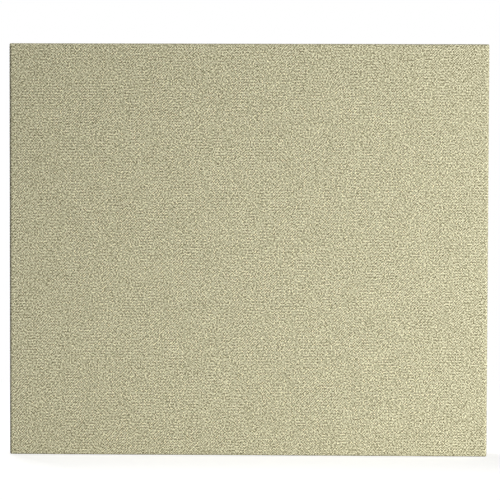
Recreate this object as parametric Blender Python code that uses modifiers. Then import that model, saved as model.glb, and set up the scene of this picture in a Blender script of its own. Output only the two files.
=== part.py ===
"""Acoustic foam wall panel wrapped in woven cloth.

A semi-rigid foam slab carries one sheet of ribbed cloth. The cloth lies over the front, turns round
soft arrises onto the four sides, and is folded onto the back as a return all the way round. At each
corner it is tucked under itself, which leaves a seam along the panel's depth, and the returns meet in
a mitre. The back of the foam stays bare inside the returns, where it is bonded to the wall.

Metres, +Z up. +X runs along the panel's width, and the front faces -Y. The origin is at the middle of
the underside. Run with: blender --background --python part.py
"""

import math

import bmesh
import bpy
from mathutils import Matrix, Vector

# Driving dimensions. The outside sizes are taken over the crests of the cloth's ribs.
PANEL_WIDTH = 0.600
PANEL_HEIGHT = 0.517
PANEL_DEPTH = 0.050

# The foam slab's own edges, and the slack between the foam and the cloth stretched over it.
FOAM_EDGE_RADIUS = 0.0010
FOAM_CLEARANCE = 0.0003

# The cloth. Its thickness is taken from a rib's crest to the smooth inner side.
CLOTH_THICKNESS = 0.0012
RIB_PITCH = 0.0035
RIB_HEIGHT = 0.00025
RETURN_WIDTH = 0.040

# The seams at the corners: how far they lie from the end of the arris, their width, and the
# cloth that is left under them.
SEAM_FROM_ARRIS = 0.0020
SEAM_WIDTH = 0.0006
SEAM_FLOOR = 0.0005

# How finely a quarter turn is faceted, and how far a cutter overshoots the face that it opens.
ARRIS_STEPS = 2
CUTTER_OVERSHOOT = 0.002
SAME_PLACE = 1e-6

# Sizes that follow from the driving ones.
CAVITY_RADIUS = FOAM_EDGE_RADIUS + FOAM_CLEARANCE
VALLEY_RADIUS = CAVITY_RADIUS + CLOTH_THICKNESS - RIB_HEIGHT
ARRIS_REACH = RIB_HEIGHT + VALLEY_RADIUS
SEAM_INSET = ARRIS_REACH + SEAM_FROM_ARRIS
SEAM_DEPTH = CLOTH_THICKNESS - SEAM_FLOOR
BACK_Y = PANEL_DEPTH / 2
PANEL_CENTRE = Vector((0.0, 0.0, PANEL_HEIGHT / 2))

# Material colours, linear.
CLOTH_COLOUR = (0.497, 0.468, 0.302)
FOAM_COLOUR = (0.42, 0.42, 0.40)


def clear_scene():
    """Remove the objects that a new file starts with."""
    for thing in list(bpy.data.objects):
        bpy.data.objects.remove(thing, do_unlink=True)


def new_collection(name):
    """Add a collection to the scene."""
    collection = bpy.data.collections.new(name)
    bpy.context.scene.collection.children.link(collection)
    return collection


def cloth_material():
    """Matt woven cloth in a pale grey-green beige."""
    return plain_material("woven_cloth", CLOTH_COLOUR, roughness=0.95)


def foam_material():
    """Matt open-cell foam in a light grey."""
    return plain_material("open_cell_foam", FOAM_COLOUR, roughness=1.0)


def plain_material(name, colour, roughness):
    """A non-metal with one colour."""
    material = bpy.data.materials.new(name)
    material.use_nodes = True
    shader = material.node_tree.nodes["Principled BSDF"]
    shader.inputs["Base Color"].default_value = (*colour, 1.0)
    shader.inputs["Roughness"].default_value = roughness
    shader.inputs["Metallic"].default_value = 0.0
    material.diffuse_color = (*colour, 1.0)
    return material


def box_mesh(size, centre=(0.0, 0.0, 0.0), turn=0.0):
    """A box about its own centre, turned about Y and then moved to its place."""
    bm = bmesh.new()
    place = Matrix.Translation(centre) @ Matrix.Rotation(turn, 4, "Y") @ Matrix.Diagonal((*size, 1.0))
    bmesh.ops.create_cube(bm, size=1.0, matrix=place)
    return bm


def add_object(name, bm, collection):
    """Turn a bmesh into an object that stands at the panel's centre."""
    mesh = bpy.data.meshes.new(name)
    bm.to_mesh(mesh)
    bm.free()
    thing = bpy.data.objects.new(name, mesh)
    thing.location = PANEL_CENTRE
    collection.objects.link(thing)
    return thing


def round_edges(thing, radius):
    """Give every edge of a box the same round."""
    bevel = thing.modifiers.new("rounded_edges", "BEVEL")
    bevel.width = radius
    bevel.segments = ARRIS_STEPS
    bevel.limit_method = "NONE"
    bevel.use_clamp_overlap = False


def inside_size(shrink):
    """The panel's outside size, less the same amount on every side."""
    return Vector((PANEL_WIDTH, PANEL_DEPTH, PANEL_HEIGHT)) - Vector((shrink, shrink, shrink)) * 2


def build_foam_core(collection):
    """The foam slab that fills the cloth."""
    core = add_object("foam_core", box_mesh(inside_size(CLOTH_THICKNESS + FOAM_CLEARANCE)), collection)
    round_edges(core, FOAM_EDGE_RADIUS)
    core.data.shade_smooth()
    core.data.materials.append(foam_material())
    return core


def rounded_blank():
    """The wrapped panel at the bottoms of the ribs. The back is the cloth's full thickness."""
    size = inside_size(RIB_HEIGHT) + Vector((0.0, RIB_HEIGHT, 0.0))
    centre = Vector((0.0, RIB_HEIGHT / 2, 0.0))
    bm = box_mesh(size, centre)
    bmesh.ops.bevel(
        bm,
        geom=bm.edges[:],
        offset=VALLEY_RADIUS,
        offset_type="OFFSET",
        segments=ARRIS_STEPS,
        profile=0.5,
        affect="EDGES",
        clamp_overlap=False,
    )
    return bm, size / 2, centre


def outward(point, half_size, centre):
    """The direction square to a rounded box's surface, at a point on it."""
    flat_half = half_size - Vector((VALLEY_RADIUS, VALLEY_RADIUS, VALLEY_RADIUS))
    local = point - centre
    nearest = Vector([max(-reach, min(reach, along)) for along, reach in zip(local, flat_half)])
    return (local - nearest).normalized()


def edges_along(bm, axis, wanted):
    """The straight edges between two rounded corners that run along an axis."""
    found = []
    for edge in bm.edges:
        start, end = (vertex.co for vertex in edge.verts)
        run = end - start
        if abs(abs(run[axis]) - run.length) < SAME_PLACE and wanted((start + end) / 2):
            found.append(edge)
    return found


def raise_ribs(bm, edges, axis, half_length, centre, push):
    """Step a run of edges twice for each rib, and push every second step out to a crest."""
    ribs = max(1, round(2 * half_length / RIB_PITCH))
    step = half_length / ribs
    made = bmesh.ops.subdivide_edges(bm, edges=edges, cuts=2 * ribs - 1, use_grid_fill=False)
    for piece in made["geom_inner"]:
        if isinstance(piece, bmesh.types.BMEdge):
            piece.smooth = False
            continue
        steps_up = round((piece.co[axis] - centre[axis] + half_length) / step)
        if steps_up % 2 == 1:
            piece.co += push(piece.co) * RIB_HEIGHT


def ribbed_blank():
    """The wrapped panel with the cloth's ribs round its front and sides, and along its ends."""
    bm, half_size, centre = rounded_blank()
    flat_half = half_size - Vector((VALLEY_RADIUS, VALLEY_RADIUS, VALLEY_RADIUS))

    def square_to(point):
        return outward(point, half_size, centre)

    def round_the_sides(point):
        """Out from the front and sides, and fading to nothing where the cloth turns to the back."""
        direction = square_to(point)
        return Vector((direction.x, min(direction.y, 0.0), 0.0))

    def over_the_ends(point):
        """Up from the top or down from the bottom, and fading to nothing at the sides."""
        return Vector((0.0, 0.0, square_to(point).z))

    upright = edges_along(bm, 2, lambda middle: True)
    raise_ribs(bm, upright, 2, flat_half.z, centre, round_the_sides)
    across = edges_along(bm, 1, lambda middle: abs(square_to(middle).z) > 0.1)
    raise_ribs(bm, across, 1, flat_half.y, centre, over_the_ends)
    on_the_back = [face for face in bm.faces if square_to(face.calc_center_median()).y > 1 - SAME_PLACE]
    bmesh.ops.dissolve_faces(bm, faces=on_the_back, use_verts=False)
    return bm


def mirrored_cutter(name, bm, collection):
    """A cutter at the top right corner, repeated at the other three."""
    cutter = add_object(name, bm, collection)
    mirror = cutter.modifiers.new("other_corners", "MIRROR")
    mirror.use_axis = (True, False, True)
    mirror.use_mirror_merge = False
    return cutter


def foam_space(cutters):
    """What the foam and its slack take out of the wrapped panel."""
    cutter = add_object("foam_space", box_mesh(inside_size(CLOTH_THICKNESS)), cutters)
    round_edges(cutter, CAVITY_RADIUS)
    return cutter


def back_window(cutters):
    """The opening between the returns, where the foam stays bare."""
    size = (
        PANEL_WIDTH - 2 * RETURN_WIDTH,
        CLOTH_THICKNESS + 2 * CUTTER_OVERSHOOT,
        PANEL_HEIGHT - 2 * RETURN_WIDTH,
    )
    centre = (0.0, BACK_Y - CLOTH_THICKNESS / 2, 0.0)
    return add_object("back_window", box_mesh(size, centre), cutters)


def corner_seams(cutters):
    """The groove that each tucked corner leaves: along the depth, over the back and into the mitre."""
    seam_x = PANEL_WIDTH / 2 - SEAM_INSET
    end_z = PANEL_HEIGHT / 2
    run_start = -PANEL_DEPTH / 2 + ARRIS_REACH
    run_end = BACK_Y + CUTTER_OVERSHOOT
    groove = SEAM_DEPTH + CUTTER_OVERSHOOT

    run = box_mesh(
        (SEAM_WIDTH, run_end - run_start, groove),
        (seam_x, (run_start + run_end) / 2, end_z - SEAM_DEPTH + groove / 2),
    )
    back_groove_y = BACK_Y - SEAM_DEPTH + groove / 2
    drop_length = SEAM_INSET + CUTTER_OVERSHOOT
    drop = box_mesh(
        (SEAM_WIDTH, groove, drop_length),
        (seam_x, back_groove_y, end_z - SEAM_INSET + drop_length / 2),
    )
    mitre_side = RETURN_WIDTH - SEAM_INSET + CUTTER_OVERSHOOT
    mitre = box_mesh(
        (mitre_side * math.sqrt(2), groove, SEAM_WIDTH),
        (seam_x - mitre_side / 2, back_groove_y, end_z - SEAM_INSET - mitre_side / 2),
        turn=math.radians(-45),
    )
    return [
        mirrored_cutter("depth_seam", run, cutters),
        mirrored_cutter("back_seam", drop, cutters),
        mirrored_cutter("mitre_seam", mitre, cutters),
    ]


def cut(thing, cutter):
    """Take a cutter out of an object, and keep the cutter out of sight."""
    boolean = thing.modifiers.new("less_" + cutter.name, "BOOLEAN")
    boolean.operation = "DIFFERENCE"
    boolean.solver = "EXACT"
    boolean.object = cutter
    cutter.hide_render = True
    cutter.display_type = "WIRE"


def build_fabric_cover(collection, cutters):
    """The one sheet of ribbed cloth, folded round the foam and onto its back."""
    cover = add_object("fabric_cover", ribbed_blank(), collection)
    cover.data.shade_smooth()
    cover.data.materials.append(cloth_material())
    for cutter in [foam_space(cutters), back_window(cutters), *corner_seams(cutters)]:
        cut(cover, cutter)
    return cover


def main():
    clear_scene()
    panel = new_collection("acoustic_foam_panel")
    cutters = new_collection("cutters")
    build_foam_core(panel)
    build_fabric_cover(panel, cutters)


main()
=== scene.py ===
# %% [markdown]
# # A wall panel of foam wrapped in woven cloth
#
# The panel is a slab of semi-rigid foam with one sheet of upholstery cloth stretched over it. From the
# front it is a plain rectangle, so everything that makes it look real is in the cloth: the fine grain of
# the threads, the faint ribs across it, the small round at each edge where the cloth turns, and the
# folds at the back. This lesson models the cloth and the foam, weaves the cloth with shader nodes, and
# lights the panel softly from the right.
#
# The measured model comes first. It stays as the frame for everything else, so each new piece takes its
# size and place from it.

# %% Load the measured panel
import math

import bmesh
import bpy
import numpy as np
from mathutils import Matrix, Vector, noise


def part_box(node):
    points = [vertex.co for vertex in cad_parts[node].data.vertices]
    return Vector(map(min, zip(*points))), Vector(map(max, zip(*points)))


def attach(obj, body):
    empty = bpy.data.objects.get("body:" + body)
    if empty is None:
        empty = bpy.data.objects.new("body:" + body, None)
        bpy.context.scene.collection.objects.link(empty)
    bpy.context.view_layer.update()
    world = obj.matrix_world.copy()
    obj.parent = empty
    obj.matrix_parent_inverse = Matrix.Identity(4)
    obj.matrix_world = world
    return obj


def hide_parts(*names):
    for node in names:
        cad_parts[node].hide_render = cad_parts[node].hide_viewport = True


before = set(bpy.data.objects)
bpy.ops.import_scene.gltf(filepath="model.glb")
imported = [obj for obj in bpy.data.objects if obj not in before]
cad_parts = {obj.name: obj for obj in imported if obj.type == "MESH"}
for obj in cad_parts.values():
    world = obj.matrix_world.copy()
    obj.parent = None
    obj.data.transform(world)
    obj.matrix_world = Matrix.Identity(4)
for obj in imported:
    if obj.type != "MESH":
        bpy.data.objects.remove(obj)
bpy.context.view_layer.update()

panel_low, panel_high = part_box("fabric_cover")
WIDTH, DEPTH, HEIGHT = panel_high - panel_low
MIDDLE = (panel_low + panel_high) / 2
print("panel", [round(side * 1000, 1) for side in (WIDTH, DEPTH, HEIGHT)], "mm")

# %% [markdown]
# ## The camera
#
# The picture is a straight view of the front from a little over three metres away. The upright edges lean
# by a hair, which tells how the camera was turned: the four sides of the panel are enough to work it
# out. From so far away the sides don't show, and a long lens brings the panel up to fill the picture.
# No shift or blur is needed.

# %% Camera
LENS_MM = 190.0
SENSOR_MM = 36.0
ROLL, PAN, TILT = 0.168, 1.2995, -2.778  # degrees
FROM_FRONT = Vector((0.0765, -3.3012, 0.1610))  # metres from the middle of the front

camera_data = bpy.data.cameras.new("camera")
camera_data.lens = LENS_MM
camera_data.sensor_width = SENSOR_MM
camera = bpy.data.objects.new("camera", camera_data)
bpy.context.scene.collection.objects.link(camera)
facing = Matrix.Rotation(math.radians(90.0), 3, "X")
roll = Matrix.Rotation(math.radians(ROLL), 3, "Z")
pan = Matrix.Rotation(math.radians(PAN), 3, "Y")
tilt = Matrix.Rotation(math.radians(TILT), 3, "X")
camera_place = Vector((MIDDLE.x, panel_low.y, MIDDLE.z)) + FROM_FRONT
camera.matrix_world = Matrix.Translation(camera_place) @ (facing @ roll @ pan @ tilt).to_4x4()
bpy.context.scene.camera = camera
print("camera at", [round(value, 3) for value in camera_place])

# %% [markdown]
# ## Working in edit mode from code
#
# An operator in edit mode acts on whatever is selected. By hand one clicks the faces; here a small
# helper clears the selection and then picks by place or direction. A second helper adds the box that
# each piece starts from, with its size applied so that the piece stands at the origin.

# %% Helpers for selecting
KINDS = {"VERT": "verts", "EDGE": "edges", "FACE": "faces"}


def start_box(name, size, centre):
    """Add a box, apply its size and place, and open it in edit mode."""
    if bpy.context.mode != "OBJECT":
        bpy.ops.object.mode_set(mode="OBJECT")
    bpy.ops.object.select_all(action="DESELECT")
    bpy.ops.mesh.primitive_cube_add(size=1.0, location=centre)
    piece = bpy.context.object
    piece.name = name
    piece.data.name = name
    piece.scale = size
    bpy.ops.object.transform_apply(location=True, rotation=True, scale=True)
    bpy.ops.object.mode_set(mode="EDIT")
    return piece


def pick(piece, kind, wanted):
    """Select only the vertices, edges or faces that the test wants, and count them."""
    bpy.ops.mesh.select_mode(type=kind)
    bpy.ops.mesh.select_all(action="DESELECT")
    mesh = bmesh.from_edit_mesh(piece.data)
    found = [part for part in getattr(mesh, KINDS[kind]) if wanted(part)]
    for part in found:
        part.select_set(True)
    mesh.select_flush_mode()
    bmesh.update_edit_mesh(piece.data)
    return len(found)


def runs_along(axis, longer_than):
    """A test for the straight edges that run along one axis and are long enough."""
    def wanted(edge):
        run = edge.verts[1].co - edge.verts[0].co
        return run.length > longer_than and abs(run[axis]) > 0.999 * run.length
    return wanted


def cut_along(piece, axis, longer_than, cuts):
    """Cut the edges that run along one axis into equal steps."""
    count = pick(piece, "EDGE", runs_along(axis, longer_than))
    bpy.ops.mesh.subdivide(number_cuts=cuts, smoothness=0.0)
    return count


print("helpers ready")

# %% [markdown]
# ## The foam slab
#
# Inside is open-cell foam, cut square with slightly softened edges. It shows only at the back, in the
# window between the folded cloth. A plain box would look like a board, so its faces are cut into small
# steps and pressed in a little here and there, the way sawn foam is never quite flat. The noise is a
# fixed one, so the slab comes out the same each time.

# %% Foam slab
foam_low, foam_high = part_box("foam_core")
FOAM_EDGE = 0.001
FOAM_UNEVEN = 0.00025
CUTS_ACROSS, CUTS_UP, CUTS_THROUGH = 79, 69, 5
WIDE_DENTS, FINE_DENTS = 45.0, 160.0  # per metre
FINE_SHARE = 0.6

foam = start_box("foam_slab", foam_high - foam_low, (foam_low + foam_high) / 2)
bpy.ops.mesh.select_all(action="SELECT")
bpy.ops.mesh.bevel(offset=FOAM_EDGE, segments=3, profile=0.5, affect="EDGES")
cut_along(foam, 0, 0.3, CUTS_ACROSS)
cut_along(foam, 2, 0.3, CUTS_UP)
cut_along(foam, 1, 0.03, CUTS_THROUGH)
bpy.ops.object.mode_set(mode="OBJECT")

for vertex in foam.data.vertices:
    rough = noise.noise(vertex.co * WIDE_DENTS) + FINE_SHARE * noise.noise(vertex.co * FINE_DENTS)
    vertex.co -= vertex.normal * FOAM_UNEVEN * max(0.0, min(1.0, 0.5 + rough))
foam.data.shade_smooth()
print("foam slab", len(foam.data.polygons), "faces")

# %% [markdown]
# ## The cloth, from the outside
#
# The cloth is one sheet, but it is pulled tight over a box, so a box is also the easiest start: it
# already lies where the cloth lies. Its edges are rounded by the small radius at which thick cloth turns.
# The back face is inset by the width of the fold and its inner part is deleted, which leaves the four
# folded strips with a mitre at each corner, as on the real panel.
#
# The box is made at the bottoms of the ribs. The ribs are raised later, so the outside comes out at the
# panel's own size.

# %% Rounded box with a window in the back
RIB_HEIGHT = 0.00025
TURN_RADIUS = 0.0032
FOLD_WIDTH = 0.040
CLOTH = 0.0012

low = panel_low + Vector((RIB_HEIGHT, RIB_HEIGHT, RIB_HEIGHT))
high = panel_high - Vector((RIB_HEIGHT, 0.0, RIB_HEIGHT))
BOX_CENTRE = (low + high) / 2
FLAT = (high - low) / 2 - Vector((TURN_RADIUS, TURN_RADIUS, TURN_RADIUS))

cover = start_box("woven_cover", high - low, BOX_CENTRE)
bpy.ops.mesh.select_all(action="SELECT")
bpy.ops.mesh.bevel(offset=TURN_RADIUS, segments=5, profile=0.5, affect="EDGES")
pick(cover, "FACE", lambda face: face.normal.y > 0.999)
bpy.ops.mesh.inset(thickness=FOLD_WIDTH - TURN_RADIUS - RIB_HEIGHT, depth=0.0)
pick(cover, "FACE", lambda face: face.normal.y > 0.999 and face.calc_area() > 0.1)
bpy.ops.mesh.delete(type="FACE")
print("box with", len(bmesh.from_edit_mesh(cover.data).faces), "faces")

# %% [markdown]
# ## Seams at the corners
#
# At each corner the cloth is tucked under itself. That leaves a line along the top and bottom faces, a
# few millimetres in from the side, which runs over the back edge and on into the mitre. Three close cuts
# make room for such a line: the middle one is pressed in later, and the outer two hold the cloth up
# beside it. Bisect cuts only what is selected, so the slanting cuts stay on the folded strips.

# %% Cut lines for the seams
SEAM_IN = 0.0045
SEAM_HALF = 0.0003
SEAM_DEPTH = 0.0007
SEAM_X = WIDTH / 2 - SEAM_IN

for side in (-1.0, 1.0):
    for offset in (-SEAM_HALF, 0.0, SEAM_HALF):
        bpy.ops.mesh.select_all(action="SELECT")
        bpy.ops.mesh.bisect(plane_co=(side * (SEAM_X + offset), 0.0, 0.0), plane_no=(1.0, 0.0, 0.0))


def folds_round(side, end):
    """A test for the faces of the two folded strips that meet at one corner."""
    def wanted(face):
        place = face.calc_center_median() - BOX_CENTRE
        return face.normal.y > 0.999 and place.x * side > -0.01 and place.z * end > -0.01
    return wanted


for side in (-1.0, 1.0):
    for end in (-1.0, 1.0):
        slant = Vector((side, 0.0, -end)).normalized()
        corner = BOX_CENTRE + Vector((side * FLAT.x, 0.0, end * FLAT.z))
        for offset in (-SEAM_HALF, SEAM_HALF):
            pick(cover, "FACE", folds_round(side, end))
            bpy.ops.mesh.bisect(plane_co=corner + slant * offset, plane_no=slant)
print("with cuts", len(bmesh.from_edit_mesh(cover.data).faces), "faces")

# %% [markdown]
# ## Steps for the ribs
#
# The cloth has fine ribs across it, about three and a half millimetres apart. Each rib needs two steps
# up the panel, one for its crest and one for the valley. One subdivide call makes at most a hundred cuts,
# so the upright edges are cut twice. The ends of the panel get ribs along them in the same way, and the
# long level edges get wider steps, which are enough for the slow unevenness of the threads.

# %% Subdivide in each direction
RIBS = 146
END_RIBS = 13
STEPS_ACROSS = 160
MITRE_CUTS = 5
cut_along(cover, 2, 0.3, RIBS // 2 - 1)
cut_along(cover, 2, 0.004, 3)
cut_along(cover, 0, 0.3, STEPS_ACROSS // 2 - 1)
cut_along(cover, 0, 0.004, 1)
cut_along(cover, 1, 0.04, 2 * END_RIBS - 1)


def on_mitre(edge):
    """The long slanting edges of the folded strips."""
    run = edge.verts[1].co - edge.verts[0].co
    return run.length > 0.02 and abs(abs(run.x) - abs(run.z)) < 0.02 * run.length


pick(cover, "EDGE", on_mitre)
bpy.ops.mesh.subdivide(number_cuts=MITRE_CUTS, smoothness=0.0)
bpy.ops.object.mode_set(mode="OBJECT")
print("cloth, outside", len(cover.data.polygons), "faces")

# %% [markdown]
# ## Where a point lies on the flat cloth
#
# The weave must follow the cloth round each edge, so the cloth gets a map: for each point, how far it
# lies from the middle of the front, measured along the cloth in metres. Over the front that is simply
# across and up. Round an edge it is the length of the arc, and down a side it is the depth. The sides
# take their map from the left and right, the ends from above and below, and the two meet at the seams.

# %% Measure along the cloth
def along_wrap(out, through, flat_out, flat_through):
    """The distance along the cloth from the middle of the front, over an edge and on to the back."""
    inner = np.minimum(np.abs(out), flat_out)
    depth = np.clip(through, -flat_through, flat_through)
    angle = np.arctan2(np.abs(out) - inner + 1e-9, depth - through)
    folded = angle > math.pi / 2 + 0.001
    run = inner + TURN_RADIUS * angle + depth + flat_through + 2.0 * (flat_out - inner) * folded
    return np.sign(out) * run


def flat_places(points, round_the_side):
    """Across and up on the flat cloth. The cloth comes round the sides, or else over the ends."""
    x, y, z = (points - np.array(BOX_CENTRE)).T
    turned = np.clip((np.abs(z) - FLAT.z) / TURN_RADIUS, 0.0, 1.0)
    up = np.sign(z) * (np.minimum(np.abs(z), FLAT.z) + TURN_RADIUS * np.arcsin(turned))
    by_side = np.stack([along_wrap(x, y, FLAT.x, FLAT.y), up], axis=1)
    by_end = np.stack([x, along_wrap(z, y, FLAT.z, FLAT.y)], axis=1)
    return np.where(round_the_side[:, None], by_side, by_end)


def vertex_places(piece):
    """The places of a piece's vertices as one table of numbers."""
    places = np.empty(len(piece.data.vertices) * 3)
    piece.data.vertices.foreach_get("co", places)
    return places.reshape(-1, 3)


fold_edge = np.array([FLAT.x - FOLD_WIDTH + TURN_RADIUS + RIB_HEIGHT]), np.array([FLAT.y + TURN_RADIUS])
print("cloth from edge to edge", round(2000.0 * along_wrap(*fold_edge, FLAT.x, FLAT.y)[0], 1), "mm across")

# %% Give each face its place on the flat cloth
mesh = cover.data
points = vertex_places(cover)
corners = np.empty(len(mesh.loops), dtype=np.int32)
mesh.loops.foreach_get("vertex_index", corners)
sizes = np.empty(len(mesh.polygons), dtype=np.int32)
mesh.polygons.foreach_get("loop_total", sizes)
centres = np.empty(len(mesh.polygons) * 3)
mesh.polygons.foreach_get("center", centres)
centres = centres.reshape(-1, 3) - np.array(BOX_CENTRE)
off_x, off_z = np.abs(centres[:, 0]), np.abs(centres[:, 2])
behind = centres[:, 1] > FLAT.y + 0.9 * TURN_RADIUS
side_face = np.where(behind, off_x - FLAT.x > off_z - FLAT.z, off_x > SEAM_X)
places = flat_places(points[corners], np.repeat(side_face, sizes))
cloth_map = mesh.uv_layers.active or mesh.uv_layers.new(name="UVMap")
cloth_map.name = "flat_cloth"
cloth_map.data.foreach_set("uv", places.astype(np.float32).ravel())
print("cloth map from", places.min(axis=0).round(3), "to", places.max(axis=0).round(3), "m")

# %% [markdown]
# ## Ribs, slubs and seams
#
# Now the points are moved in code, which is how soft form is best made: every second row goes out to the
# crest of a rib, and noise that follows the cloth makes some threads a little thicker than others. The
# middle line of each seam is pressed in. The cut edge in the back wanders slightly, as cloth cut by hand
# does, and where two folded strips meet they lie on the tucked cloth and rise a little.
#
# Seen from the front, the panel's four corners are nearly sharp, because the tucked layers fill them. So
# the round there is drawn out towards the square corner, until only a small round is left.

# %% Raise the ribs and thicken some threads
SLUB = 0.00006
SLUBS_ALONG, SLUBS_UP = 110.0, 420.0  # per metre
SLOW = 0.00008
SLOW_WAVES = 28.0  # per metre

rel = points - np.array(BOX_CENTRE)
flat = np.array(FLAT)
near = np.clip(rel, -flat, flat)
out = (rel - near) / TURN_RADIUS
x_out, z_out = np.abs(rel[:, 0]), np.abs(rel[:, 2])
on_fold = out[:, 1] > 0.999
ends = np.abs(out[:, 2]) > 0.1


def crest(along, half, steps):
    """True on every second step between two rounded edges."""
    level = np.rint((along + half) / (2.0 * half / steps)).astype(int)
    return (level % 2 == 1) & (np.abs(along) < half - 1e-6)


moved = np.zeros_like(points)
rows = crest(rel[:, 2], FLAT.z, 2 * RIBS)[:, None]
moved += rows * RIB_HEIGHT * np.stack([out[:, 0], np.minimum(out[:, 1], 0.0), np.zeros(len(out))], axis=1)
end_rows = (crest(rel[:, 1], FLAT.y, 2 * END_RIBS) & ends)[:, None]
moved += end_rows * RIB_HEIGHT * np.stack([np.zeros(len(out)), np.zeros(len(out)), out[:, 2]], axis=1)

by_side = np.where(on_fold, x_out - FLAT.x > z_out - FLAT.z, x_out > SEAM_X)
where = flat_places(points, by_side)
slub = np.array([noise.noise(Vector((u * SLUBS_ALONG, v * SLUBS_UP, 3.0))) for u, v in where])
slow = np.array([noise.noise(Vector((u * SLOW_WAVES, v * SLOW_WAVES, 9.0))) for u, v in where])
moved += (out.T * (SLUB * slub + SLOW * slow)).T
print("rib crests", int(rows.sum()), "points")

# %% Draw out the four corners of the outline
CORNER_RADIUS = 0.0012


def squared(sideways, upwards):
    """How much further out the squared corner lies than the plain round, in one direction."""
    steep, flatter = np.maximum(sideways, upwards), np.minimum(sideways, upwards)
    inset = TURN_RADIUS - CORNER_RADIUS
    along = inset * (sideways + upwards)
    on_round = along + np.sqrt(np.maximum(0.0, along**2 - 2.0 * inset**2 + CORNER_RADIUS**2))
    return np.where(flatter * TURN_RADIUS <= inset * steep, 1.0 / steep, on_round / TURN_RADIUS)


at_corner = (x_out > FLAT.x + 1e-6) & (z_out > FLAT.z + 1e-6)
level_out = np.abs(out[at_corner][:, [0, 2]])
level_out /= np.hypot(level_out[:, 0], level_out[:, 1])[:, None]
moved[at_corner] += TURN_RADIUS * (squared(*level_out.T) - 1.0)[:, None] * out[at_corner] * [1.0, 0.0, 1.0]
print("corner points", int(at_corner.sum()))

# %% Press in the seams, and let the cut edge wander
FOLD_RISE = 0.0003
RISE_REACH = 0.006
CUT_WANDER = 0.0004
WANDERS, FRAYS = 60.0, 700.0  # per metre
FRAY_SHARE = 0.4
SAME_PLACE = 1e-5

past_side, past_end = x_out - FLAT.x, z_out - FLAT.z
end_side = past_end > past_side - SAME_PLACE
on_seam = np.abs(x_out - (SEAM_X - abs(BOX_CENTRE.x))) < SAME_PLACE
past_front = rel[:, 1] > -FLAT.y + SAME_PLACE
over_end = on_seam & past_front & ends & (end_side | (z_out > FLAT.z + SAME_PLACE))
down_back = on_seam & on_fold & end_side
mitre = on_fold & (np.abs(past_side - past_end) < SAME_PLACE) & (x_out < SEAM_X + SAME_PLACE)
seam = over_end | down_back | mitre
moved[seam] = -SEAM_DEPTH * out[seam]

from_mitre = np.abs(past_side - past_end) / math.sqrt(2.0)
moved[:, 1] += FOLD_RISE * np.exp(-from_mitre / RISE_REACH) * (on_fold & ~seam)

window = flat[[0, 2]] - FOLD_WIDTH + TURN_RADIUS + RIB_HEIGHT
upright_cut = on_fold & (np.abs(x_out - window[0]) < SAME_PLACE)
level_cut = on_fold & (np.abs(z_out - window[1]) < SAME_PLACE)
wander = np.array([noise.noise(Vector((p[0] * WANDERS, p[2] * WANDERS, 5.0))) for p in rel])
fray = np.array([noise.noise(Vector((p[0] * FRAYS, p[2] * FRAYS, 8.0))) for p in rel])
ragged = CUT_WANDER * (wander + FRAY_SHARE * fray)
moved[:, 0] += ragged * upright_cut
moved[:, 2] += ragged * level_cut

mesh.vertices.foreach_set("co", (points + moved).ravel())
mesh.update()
print("seam points", int(seam.sum()))
print("points on the cut edge", int((upright_cut | level_cut).sum()))

# %% [markdown]
# ## The inner side of the cloth
#
# So far the cloth has no thickness. Its inner side lies against the foam and is never seen, but the cut
# edge in the back is, so the edge is extruded inwards by the thickness of the cloth, then out to the
# corners, then forward behind the front, and closed there. A Solidify modifier would do the same and
# double every fine step for nothing.
#
# The cut edge is marked sharp first. Smooth shading blends the directions of the faces that meet at an
# edge, and over a square cut that would make the flat strips look slanted.

# %% Fold the thickness in
bpy.ops.object.select_all(action="DESELECT")
cover.select_set(True)
bpy.context.view_layer.objects.active = cover
bpy.ops.object.mode_set(mode="EDIT")
pick(cover, "EDGE", lambda edge: edge.is_boundary)
bpy.ops.mesh.mark_sharp()
bpy.ops.mesh.extrude_region_move(TRANSFORM_OT_translate={"value": (0.0, -CLOTH, 0.0)})
bpy.ops.mesh.extrude_region_move(TRANSFORM_OT_translate={"value": (0.0, 0.0, 0.0)})
inner_width = (WIDTH - 2.0 * CLOTH) / (2.0 * window[0])
inner_height = (HEIGHT - 2.0 * CLOTH) / (2.0 * window[1])
bpy.ops.transform.resize(value=(inner_width, 1.0, inner_height), center_override=BOX_CENTRE)
bpy.ops.mesh.extrude_region_move(TRANSFORM_OT_translate={"value": (0.0, 2.0 * CLOTH - DEPTH, 0.0)})
bpy.ops.mesh.edge_face_add()
bpy.ops.mesh.select_all(action="SELECT")
bpy.ops.mesh.normals_make_consistent(inside=False)
bpy.ops.object.mode_set(mode="OBJECT")
cover.data.shade_smooth()


def volume_of(piece):
    """The volume that a closed piece holds, in cubic centimetres."""
    solid = bmesh.new()
    solid.from_mesh(piece.data)
    open_edges = sum(1 for edge in solid.edges if not edge.is_manifold)
    held = solid.calc_volume(signed=True) * 1e6
    area = sum(face.calc_area() for face in solid.faces)
    triangles = sum(len(face.verts) - 2 for face in solid.faces)
    solid.free()
    return round(held, 1), round(area, 4), triangles, open_edges


print("cloth: cm3, m2, triangles, open edges", volume_of(cover))
print("foam: cm3, m2, triangles, open edges", volume_of(foam))

# %% [markdown]
# ## Building blocks for the finishes
#
# Both finishes are made of shader nodes, with no pictures. A few helpers keep the node code short: one
# feeds a socket from another socket or from a plain number, one does sums, and two give noise. An effect
# that is used more than once is a node group with named sockets.

# %% Helpers for nodes
def feed(tree, source, socket):
    """Link a socket to another one, or set it to a number, a vector or a colour."""
    if isinstance(source, bpy.types.NodeSocket):
        tree.links.new(source, socket)
    else:
        socket.default_value = source


def work(tree, operation, *sources, limit=False):
    """One sum: a math node with its inputs filled."""
    node = tree.nodes.new("ShaderNodeMath")
    node.operation = operation
    node.use_clamp = limit
    for source, socket in zip(sources, node.inputs):
        feed(tree, source, socket)
    return node.outputs[0]


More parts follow.
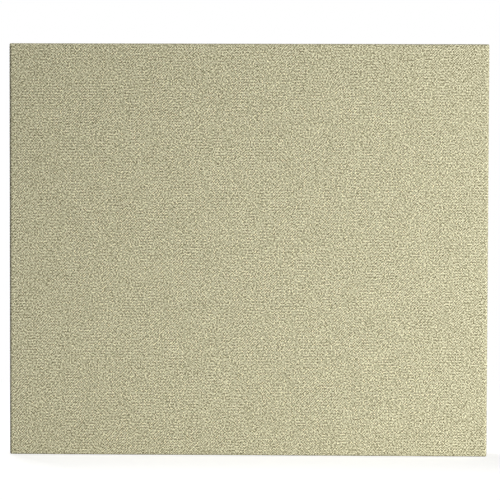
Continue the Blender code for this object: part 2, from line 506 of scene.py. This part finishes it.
def pair(tree, across, up):
    """Two numbers as a vector."""
    node = tree.nodes.new("ShaderNodeCombineXYZ")
    feed(tree, across, node.inputs[0])
    feed(tree, up, node.inputs[1])
    return node.outputs[0]


def speckle(tree, across, up):
    """A random number from 0 to 1 for each pair of whole numbers."""
    node = tree.nodes.new("ShaderNodeTexWhiteNoise")
    node.noise_dimensions = "2D"
    feed(tree, pair(tree, across, up), node.inputs["Vector"])
    return node.outputs["Value"]


def cloud(tree, place, scale, detail=0.0, shift=None, dimensions="2D"):
    """Soft noise from 0 to 1. The scale is in patches per metre."""
    if shift is not None:
        moved_place = tree.nodes.new("ShaderNodeVectorMath")
        moved_place.operation = "ADD"
        feed(tree, place, moved_place.inputs[0])
        moved_place.inputs[1].default_value = shift
        place = moved_place.outputs[0]
    node = tree.nodes.new("ShaderNodeTexNoise")
    node.noise_dimensions = dimensions
    feed(tree, place, node.inputs["Vector"])
    feed(tree, scale, node.inputs["Scale"])
    node.inputs["Detail"].default_value = detail
    return node.outputs[0]


def nudge(tree, place, scale, reach):
    """Shift a place a little this way and that by soft noise, by up to the reach in metres."""
    noise_node = tree.nodes.new("ShaderNodeTexNoise")
    noise_node.noise_dimensions = "2D"
    feed(tree, place, noise_node.inputs["Vector"])
    feed(tree, scale, noise_node.inputs["Scale"])
    noise_node.inputs["Detail"].default_value = 0.0
    shift = tree.nodes.new("ShaderNodeVectorMath")
    shift.operation = "MULTIPLY_ADD"
    feed(tree, noise_node.outputs["Color"], shift.inputs[0])
    shift.inputs[1].default_value = (2.0 * reach, 2.0 * reach, 0.0)
    shift.inputs[2].default_value = (-reach, -reach, 0.0)
    shifted = tree.nodes.new("ShaderNodeVectorMath")
    shifted.operation = "ADD"
    feed(tree, place, shifted.inputs[0])
    feed(tree, shift.outputs[0], shifted.inputs[1])
    return shifted.outputs[0]


def parts_of(tree, place):
    """The across and up of a place, as two numbers."""
    node = tree.nodes.new("ShaderNodeSeparateXYZ")
    feed(tree, place, node.inputs[0])
    return node.outputs[0], node.outputs[1]


def spread(tree, value, low, high, to_low, to_high):
    """Map a value from one range to another, and stop at the ends."""
    node = tree.nodes.new("ShaderNodeMapRange")
    node.clamp = True
    names = ("Value", "From Min", "From Max", "To Min", "To Max")
    for name, source in zip(names, (value, low, high, to_low, to_high)):
        feed(tree, source, node.inputs[name])
    return node.outputs[0]


def blend_colours(tree, share, first, second):
    """Two colours mixed by a share."""
    node = tree.nodes.new("ShaderNodeMix")
    node.data_type = "RGBA"
    feed(tree, share, node.inputs[0])
    feed(tree, first, node.inputs[6])
    feed(tree, second, node.inputs[7])
    return node.outputs[2]


def new_group(name, takes, gives):
    """An empty node group with named sockets, and the sockets at its two ends."""
    group = bpy.data.node_groups.new(name, "ShaderNodeTree")
    for label, (kind, value) in takes.items():
        socket = group.interface.new_socket(name=label, in_out="INPUT", socket_type="NodeSocket" + kind)
        if value is not None:
            socket.default_value = value
    for label, kind in gives.items():
        group.interface.new_socket(name=label, in_out="OUTPUT", socket_type="NodeSocket" + kind)
    return group, group.nodes.new("NodeGroupInput").outputs, group.nodes.new("NodeGroupOutput").inputs


print("node helpers ready")

# %% [markdown]
# ## Slow changes of tone
#
# Neither dyed yarn nor foam has exactly one colour all over. A slow, faint cloud of lighter and darker
# tone takes away the printed look. Both finishes use it, so it is a group.

# %% Group: mottle
mottle, given, made = new_group(
    "mottle",
    {
        "Place": ("Vector", None),
        "Colour": ("Color", None),
        "Patches per Metre": ("Float", 40.0),
        "Amount": ("Float", 0.04),
    },
    {"Colour": "Color"},
)
wide = cloud(mottle, given["Place"], given["Patches per Metre"], detail=2.0, dimensions="3D")
swing = work(mottle, "MULTIPLY", given["Amount"], 4.0)
gain = work(mottle, "MULTIPLY_ADD", work(mottle, "SUBTRACT", wide, 0.5), swing, 1.0)
tint = mottle.nodes.new("ShaderNodeVectorMath")
tint.operation = "SCALE"
feed(mottle, given["Colour"], tint.inputs[0])
feed(mottle, gain, tint.inputs["Scale"])
feed(mottle, tint.outputs[0], made["Colour"])
print("mottle", len(mottle.nodes), "nodes")

# %% [markdown]
# ## The weave
#
# Close up, the cloth is a plain crossing of two sets of threads, spun from light and dark fibre. From a
# step away the single threads melt into a fine salt and pepper grain. Measured in the photograph, the
# grain is strongest at about three and a half millimetres and weaker at every larger size, so it never
# gathers into blotches. Plain random tones would. The remedy is to take some of the neighbours' mean
# tone away from each crossing: a light one then tends to have dark ones round it, as in real cloth,
# where each thread dips under the next.
#
# The group counts threads both ways and gives each crossing such a tone. It adds a little of the
# over-and-under checker, which shows in some patches as slanting strokes, and the faint ribs as rows of
# painted light and shade, which come and go.
#
# That alone looks like small square tiles when one goes close. Real threads wander, so soft noise nudges
# their places first. Tufts of fibre half a thread wide break up each tone, every thread gets painted shade
# towards its sides and painted light on its crown, the gaps at the corners of each crossing get painted
# shade, and fine hairs lie along whichever thread is on top.
#
# One number, the tone, then picks the colour. Its dark end is the colour of the dark fibre and also of the
# painted shade in the gaps, at the thread sides and in the rib valleys, and it is the more yellow, because
# light that has gone down between threads picks up their colour. The same parts make the height for the
# bump.

# %% Group: crepe weave
weave, given, made = new_group(
    "crepe_weave",
    {
        "Place": ("Vector", None),
        "Thread Spacing": ("Float", 0.0016),
        "Rib Spacing": ("Float", 0.0035),
        "Crossings": ("Float", 0.70),
        "Evenness": ("Float", 1.0),
        "Strokes": ("Float", 0.092),
        "Fibres": ("Float", 0.50),
        "Painted Rib Shade": ("Float", 0.09),
        "Roundness": ("Float", 0.28),
        "Hairs": ("Float", 0.5),
        "Shade": ("Color", (0.11, 0.094, 0.038, 1.0)),
        "Middle": ("Color", (0.497, 0.468, 0.302, 1.0)),
        "Light": ("Color", (0.93, 0.89, 0.63, 1.0)),
    },
    {"Colour": "Color", "Height": "Float", "Tone": "Float"},
)
# How the threads and the tufts stray: waves per metre, and how far in metres.
THREAD_DRIFT = (300.0, 0.0005)
THREAD_WOBBLE = (2600.0, 0.0003)
TUFT_WOBBLE = (1500.0, 0.0008)

across, up = parts_of(weave, given["Place"])
threads_lie = nudge(weave, nudge(weave, given["Place"], *THREAD_DRIFT), *THREAD_WOBBLE)
thread_across, thread_up = parts_of(weave, threads_lie)
warp = work(weave, "DIVIDE", thread_across, given["Thread Spacing"])
weft = work(weave, "DIVIDE", thread_up, given["Thread Spacing"])
warp_count, weft_count = work(weave, "FLOOR", warp), work(weave, "FLOOR", weft)


def crossing(to_right, further_up):
    """The random tone of this crossing, or of one beside it."""
    warp_there = work(weave, "ADD", warp_count, to_right + 0.25)
    weft_there = work(weave, "ADD", weft_count, further_up + 0.75)
    return speckle(weave, warp_there, weft_there)


own_tone = crossing(0, 0)
beside = work(weave, "ADD", crossing(1, 0), crossing(-1, 0))
above_and_below = work(weave, "ADD", crossing(0, 1), crossing(0, -1))
neighbours = work(weave, "MULTIPLY_ADD", work(weave, "ADD", beside, above_and_below), 0.25, -0.5)
taken_away = work(weave, "MULTIPLY", neighbours, given["Evenness"])
crossing_tone = work(weave, "SUBTRACT", work(weave, "SUBTRACT", own_tone, 0.5), taken_away)
print("crossings", len(weave.nodes), "nodes")

# %% Tufts, strokes and ribs
# Finer speckle from the tufts of fibre on top, half a thread wide and ragged.
tuft_across, tuft_up = parts_of(weave, nudge(weave, threads_lie, *TUFT_WOBBLE))
tuft_size = work(weave, "MULTIPLY", given["Thread Spacing"], 0.5)
tuft_across = work(weave, "FLOOR", work(weave, "DIVIDE", tuft_across, tuft_size))
tuft_up = work(weave, "FLOOR", work(weave, "DIVIDE", tuft_up, tuft_size))
fibres = work(weave, "SUBTRACT", speckle(weave, work(weave, "ADD", tuft_across, 0.4), tuft_up), 0.5)

# Two diagonal waves, each strong only in its own patches, which are longer up the cloth than across.
over = work(weave, "FLOORED_MODULO", work(weave, "ADD", warp_count, weft_count), 2.0)
rising = work(weave, "SINE", work(weave, "MULTIPLY", work(weave, "ADD", warp, weft), math.pi))
falling = work(weave, "SINE", work(weave, "MULTIPLY", work(weave, "SUBTRACT", warp, weft), math.pi))
LENGTHEN = 0.35
STROKE_PATCHES, RIB_PATCHES = 40.0, 45.0  # per metre
CLOUD_LOW, CLOUD_HIGH = 0.3, 0.7  # where soft noise mostly lies
long_place = pair(weave, across, work(weave, "MULTIPLY", up, LENGTHEN))
rising_cloud = cloud(weave, long_place, STROKE_PATCHES)
falling_cloud = cloud(weave, long_place, STROKE_PATCHES, shift=(3.7, 1.9, 0.0))
rising_share = spread(weave, rising_cloud, CLOUD_LOW, CLOUD_HIGH, -1.7, 2.0)
falling_share = spread(weave, falling_cloud, CLOUD_LOW, CLOUD_HIGH, -2.1, 3.0)
rising = work(weave, "MULTIPLY", rising, rising_share)
falling = work(weave, "MULTIPLY", falling, falling_share)
strokes = work(weave, "ADD", rising, falling)

# The ribs go into the tone as lighter and darker rows, a painted shade of the rib relief, and into the
# height as relief. They come and go, and change step about every two centimetres across.
rib_turn = work(weave, "MULTIPLY", work(weave, "DIVIDE", up, given["Rib Spacing"]), 2.0 * math.pi)
rib_cloud = cloud(weave, long_place, RIB_PATCHES, shift=(8.1, 5.3, 0.0))
rib_share = spread(weave, rib_cloud, CLOUD_LOW, CLOUD_HIGH, -1.5, 1.5)
ribs = work(weave, "MULTIPLY", work(weave, "COSINE", rib_turn), rib_share)
print("with tufts, strokes and ribs", len(weave.nodes), "nodes")

# %% Round threads and hairs
# Where each crossing is highest, and the small gap at its four corners, which is darkened as painted shade.
warp_side = work(weave, "ABSOLUTE", work(weave, "MULTIPLY_ADD", work(weave, "FRACT", warp), 2.0, -1.0))
weft_side = work(weave, "ABSOLUTE", work(weave, "MULTIPLY_ADD", work(weave, "FRACT", weft), 2.0, -1.0))
warp_round = work(weave, "SUBTRACT", 1.0, work(weave, "POWER", warp_side, 2.0))
weft_round = work(weave, "SUBTRACT", 1.0, work(weave, "POWER", weft_side, 2.0))
warp_top = work(weave, "MULTIPLY", warp_round, work(weave, "MULTIPLY_ADD", weft_round, 0.4, 0.6))
weft_top = work(weave, "MULTIPLY", weft_round, work(weave, "MULTIPLY_ADD", warp_round, 0.4, 0.6))
warp_top = work(weave, "MULTIPLY", warp_top, work(weave, "SUBTRACT", 1.0, over))
weft_top = work(weave, "MULTIPLY", weft_top, over)
dome = work(weave, "ADD", warp_top, weft_top)
# This mask says where painted shade falls in the gaps between threads.
gap_shade_mask = work(weave, "POWER", work(weave, "MULTIPLY", warp_side, weft_side), 3.0)

# Single hairs lie along the thread that is on top, so they turn from each crossing to the next.
lengthways, crossways = 0.8, 5.0
turn_across = spread(weave, over, 0.0, 1.0, crossways, lengthways)
turn_up = spread(weave, over, 0.0, 1.0, lengthways, crossways)
hair_place = pair(weave, work(weave, "MULTIPLY", warp, turn_across), work(weave, "MULTIPLY", weft, turn_up))
hairs = work(weave, "SUBTRACT", cloud(weave, hair_place, 1.0, detail=1.0), 0.5)
print("with round threads and hairs", len(weave.nodes), "nodes")

# %% From tone to colour and height
# The domes paint shade on the sides of each thread and light on its crown, taken about their mean so that
# they leave the cloth as light as it was.
MEAN_DOME = 0.56
PAINTED_GAP_SHADE = -0.3

# The domes go into the tone as painted shade at each thread's sides and painted light on its crown.
painted_round_shade = work(weave, "SUBTRACT", dome, MEAN_DOME)
tone = work(weave, "MULTIPLY_ADD", crossing_tone, given["Crossings"], 0.5)
for part, share in (
    (fibres, "Fibres"), (strokes, "Strokes"), (ribs, "Painted Rib Shade"), (painted_round_shade, "Roundness"), (hairs, "Hairs"),
):
    tone = work(weave, "MULTIPLY_ADD", part, given[share], tone)
# Painted shade in the gaps between threads darkens the tone there.
tone = work(weave, "MULTIPLY_ADD", gap_shade_mask, PAINTED_GAP_SHADE, tone, limit=True)
lower_half = work(weave, "MULTIPLY", tone, 2.0, limit=True)
upper_half = work(weave, "MULTIPLY_ADD", tone, 2.0, -1.0, limit=True)
# The Shade colour takes both the dark fibre and the painted shade of gaps, thread sides and rib valleys.
dark_half = blend_colours(weave, lower_half, given["Shade"], given["Middle"])
full = blend_colours(weave, upper_half, dark_half, given["Light"])
feed(weave, full, made["Colour"])
feed(weave, tone, made["Tone"])
height = work(weave, "MULTIPLY", dome, 0.5)
for part, share in ((strokes, 0.15), (ribs, 0.2), (crossing_tone, 0.3), (hairs, 0.4)):
    height = work(weave, "MULTIPLY_ADD", part, share, height)
feed(weave, height, made["Height"])
print("crepe weave", len(weave.nodes), "nodes")

# %% [markdown]
# ## The cloth finish
#
# The material reads the cloth's own map, so the threads run round the edges with the cloth. It is matt:
# a high roughness and hardly any shine, so that no pale rim shows where the cloth turns away.

# %% Material: woven cloth
def new_material(name):
    """A material with its nodes, and its shader."""
    material = bpy.data.materials.new(name)
    material.use_nodes = True
    tree = material.node_tree
    return material, tree, tree.nodes["Principled BSDF"]


def use_group(tree, group, **values):
    """Place a group in a material, with values for its sockets."""
    node = tree.nodes.new("ShaderNodeGroup")
    node.node_tree = group
    for name, value in values.items():
        feed(tree, value, node.inputs[name.replace("_", " ")])
    return node.outputs


def bump_from(tree, height, depth, strength, shader):
    """Turn a height into a bump for the shader's normal."""
    bump = tree.nodes.new("ShaderNodeBump")
    bump.inputs["Strength"].default_value = strength
    bump.inputs["Distance"].default_value = depth
    feed(tree, height, bump.inputs["Height"])
    feed(tree, bump.outputs[0], shader.inputs["Normal"])


cloth, tree, shader = new_material("woven_cloth_look")
cloth_place = tree.nodes.new("ShaderNodeUVMap")
cloth_place.uv_map = "flat_cloth"
woven = use_group(tree, weave, Place=cloth_place.outputs[0])
toned = use_group(
    tree, mottle, Place=cloth_place.outputs[0], Colour=woven["Colour"],
    Patches_per_Metre=25.0, Amount=0.02,
)
feed(tree, toned["Colour"], shader.inputs["Base Color"])
feed(tree, spread(tree, woven["Tone"], 0.0, 1.0, 1.0, 0.86), shader.inputs["Roughness"])
bump_from(tree, woven["Height"], 0.00025, 0.6, shader)
shader.inputs["Specular IOR Level"].default_value = 0.1
cover.data.materials.append(cloth)
print("cloth finish", len(tree.nodes), "nodes")

# %% [markdown]
# ## The foam finish
#
# Open-cell foam is a net of thin struts round little holes, with a few holes larger than the rest. A cell
# pattern gives this: near the middle of a cell it is deep and dark with painted shade, and at its rim it is
# the foam's own light grey and high. Two sizes of cell together look less regular than one. It reads the
# piece's own place, because sawn foam is the same pattern right through.

# %% Group: open cells
cells, given, made = new_group(
    "open_cells",
    {
        "Place": ("Vector", None),
        "Cells per Metre": ("Float", 900.0),
        "Strut": ("Color", None),
        "Hole": ("Color", None),
    },
    {"Colour": "Color", "Height": "Float"},
)


def cell_depth(scale, deep, shallow):
    """How far a point lies from the rim of its cell, from 0 in the hole to 1 on the strut."""
    node = cells.nodes.new("ShaderNodeTexVoronoi")
    node.feature = "F1"
    feed(cells, given["Place"], node.inputs["Vector"])
    feed(cells, scale, node.inputs["Scale"])
    return spread(cells, node.outputs["Distance"], deep, shallow, 0.0, 1.0)


fine_cells = cell_depth(given["Cells per Metre"], 0.16, 0.62)
large_cells = cell_depth(work(cells, "MULTIPLY", given["Cells per Metre"], 0.43), 0.10, 0.42)
strut = work(cells, "MULTIPLY", fine_cells, work(cells, "MULTIPLY_ADD", large_cells, 0.6, 0.4))
# The holes get painted shade, and the struts keep the foam's own grey.
feed(cells, blend_colours(cells, strut, given["Hole"], given["Strut"]), made["Colour"])
feed(cells, strut, made["Height"])
print("open cells", len(cells.nodes), "nodes")

# %% Material: open-cell foam
foam_look, tree, shader = new_material("open_cell_foam_look")
foam_place = tree.nodes.new("ShaderNodeTexCoord").outputs["Object"]
# The hole colour is painted shade in the pores, and the strut colour is the foam's own grey.
cellular = use_group(
    tree, cells, Place=foam_place, Cells_per_Metre=900.0,
    Strut=(0.56, 0.56, 0.53, 1.0), Hole=(0.16, 0.16, 0.15, 1.0),
)
toned = use_group(
    tree, mottle, Place=foam_place, Colour=cellular["Colour"],
    Patches_per_Metre=18.0, Amount=0.05,
)
feed(tree, toned["Colour"], shader.inputs["Base Color"])
feed(tree, spread(tree, cellular["Height"], 0.0, 1.0, 1.0, 0.9), shader.inputs["Roughness"])
bump_from(tree, cellular["Height"], 0.0006, 0.8, shader)
shader.inputs["Specular IOR Level"].default_value = 0.2
foam.data.materials.append(foam_look)
print("foam finish", len(tree.nodes), "nodes")

# %% [markdown]
# ## Floor and background
#
# The panel stands on a pale floor against white. A real white floor would need so much light that the
# cloth would burn out. So the floor adds a little light of its own, but only for what the camera sees:
# the lit floor turns white, and the soft shadow of the panel stays. Further out the camera sees plain
# white only, without the lamps' light on top, because a background that is brighter than white eats into
# the panel's outline.

# %% Floor
FLOOR_RADIUS = 2.2
BELOW_PANEL = 0.0004
FLOOR_GREY = 0.55
NEAR_GLOW, FAR_GLOW = 0.78, 1.0
LIT_TO, PLAIN_FROM = 0.35, 1.0

bpy.ops.object.select_all(action="DESELECT")
bpy.ops.mesh.primitive_circle_add(
    vertices=96, radius=FLOOR_RADIUS, fill_type="NGON", location=(0.0, 0.0, -BELOW_PANEL)
)
floor = bpy.context.object
floor.name = "floor"
bpy.ops.object.transform_apply(location=True, rotation=True, scale=True)


def seen_directly(tree):
    """One where the camera, a reflection or clear glass looks, and nothing where light is gathered."""
    path = tree.nodes.new("ShaderNodeLightPath").outputs
    seen = work(tree, "ADD", path["Is Camera Ray"], path["Is Glossy Ray"])
    return work(tree, "ADD", seen, path["Is Transmission Ray"], limit=True)


pale, tree, shader = new_material("pale_floor")
shader.inputs["Roughness"].default_value = 1.0
shader.inputs["Specular IOR Level"].default_value = 0.0
place = tree.nodes.new("ShaderNodeTexCoord").outputs["Object"]
reach = tree.nodes.new("ShaderNodeVectorMath")
reach.operation = "LENGTH"
feed(tree, place, reach.inputs[0])
far_out = spread(tree, reach.outputs["Value"], LIT_TO, PLAIN_FROM, 0.0, 1.0)
glow = spread(tree, far_out, 0.0, 1.0, NEAR_GLOW, FAR_GLOW)
seen = seen_directly(tree)
unlit = work(tree, "MULTIPLY", far_out, seen)
feed(tree, work(tree, "MULTIPLY_ADD", unlit, -FLOOR_GREY, FLOOR_GREY), shader.inputs["Base Color"])
shader.inputs["Emission Color"].default_value = (1.0, 1.0, 1.0, 1.0)
feed(tree, work(tree, "MULTIPLY", glow, seen), shader.inputs["Emission Strength"])
floor.data.materials.append(pale)
print("floor", 2.0 * FLOOR_RADIUS, "m across")

# %% World
world = bpy.data.worlds.new("white_room")
bpy.context.scene.world = world
world.use_nodes = True
tree = world.node_tree
background = tree.nodes["Background"]
background.inputs["Color"].default_value = (1.0, 1.0, 1.0, 1.0)
AMBIENT = 0.03
feed(tree, spread(tree, seen_directly(tree), 0.0, 1.0, AMBIENT, 1.0), background.inputs["Strength"])
print("room light", AMBIENT)

# %% [markdown]
# ## Light
#
# In the picture the right side of the panel is a little brighter than the left, and the left edge is a
# thin dark line. So the main lamp stands in front and to the right, near enough that its light falls off
# across the panel, and the room gives hardly any light of its own. The lamp is a wide, low one that is
# tipped towards the floor, which makes the bottom of the panel slightly brighter than the top.
#
# Two weaker lamps are for the other sides, and neither reaches the front. A low one behind the panel
# shows the back and the left side. A small one overhead shows the top, and lays the panel's soft shadow
# on the floor.

# %% Lamps
def soft_lamp(name, place, aim, width, height, power):
    """An oblong area lamp that points at a place."""
    lamp = bpy.data.lights.new(name, "AREA")
    lamp.shape = "RECTANGLE"
    lamp.size = width
    lamp.size_y = height
    lamp.energy = power
    thing = bpy.data.objects.new(name, lamp)
    thing.location = place
    thing.rotation_euler = (Vector(aim) - Vector(place)).to_track_quat("-Z", "Y").to_euler()
    bpy.context.scene.collection.objects.link(thing)
    return thing


soft_lamp("key_lamp", (1.70, -2.1, 0.22), (1.40, -1.7, 0.01), 1.2, 0.4, 91.0)
soft_lamp("rear_lamp", (-1.2, 1.9, 0.45), (0.0, 0.0, 0.25), 0.8, 0.8, 34.0)
soft_lamp("top_lamp", (-0.25, 0.25, 1.7), (-0.05, 0.05, 0.0), 0.4, 0.4, 9.0)
bpy.context.scene.view_settings.view_transform = "Standard"
print("three soft lamps")

# %% [markdown]
# ## Keeping the grain
#
# After rendering, Blender smooths away the speckle that comes from chance in the light. It is guided by
# two helper pictures, the plain colours and the surface directions, and by default it smooths those
# first. The threads are about one pixel wide here, so they would go with the speckle, and the cloth
# would look like felt. Without that first smoothing the threads stay.

# %% Guide the smoothing by the threads
bpy.context.scene.cycles.denoising_prefilter = "NONE"
print("guides are used as they are")

# %% [markdown]
# ## The new pieces in place of the measured ones
#
# The cloth and the foam take the places of the two measured solids, which are hidden, and both new pieces
# hang from the root body.

for piece, node, finish in ((cover, "fabric_cover", "woven_cloth"), (foam, "foam_core", "open_cell_foam")):
    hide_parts(node)
    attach(piece, "root")
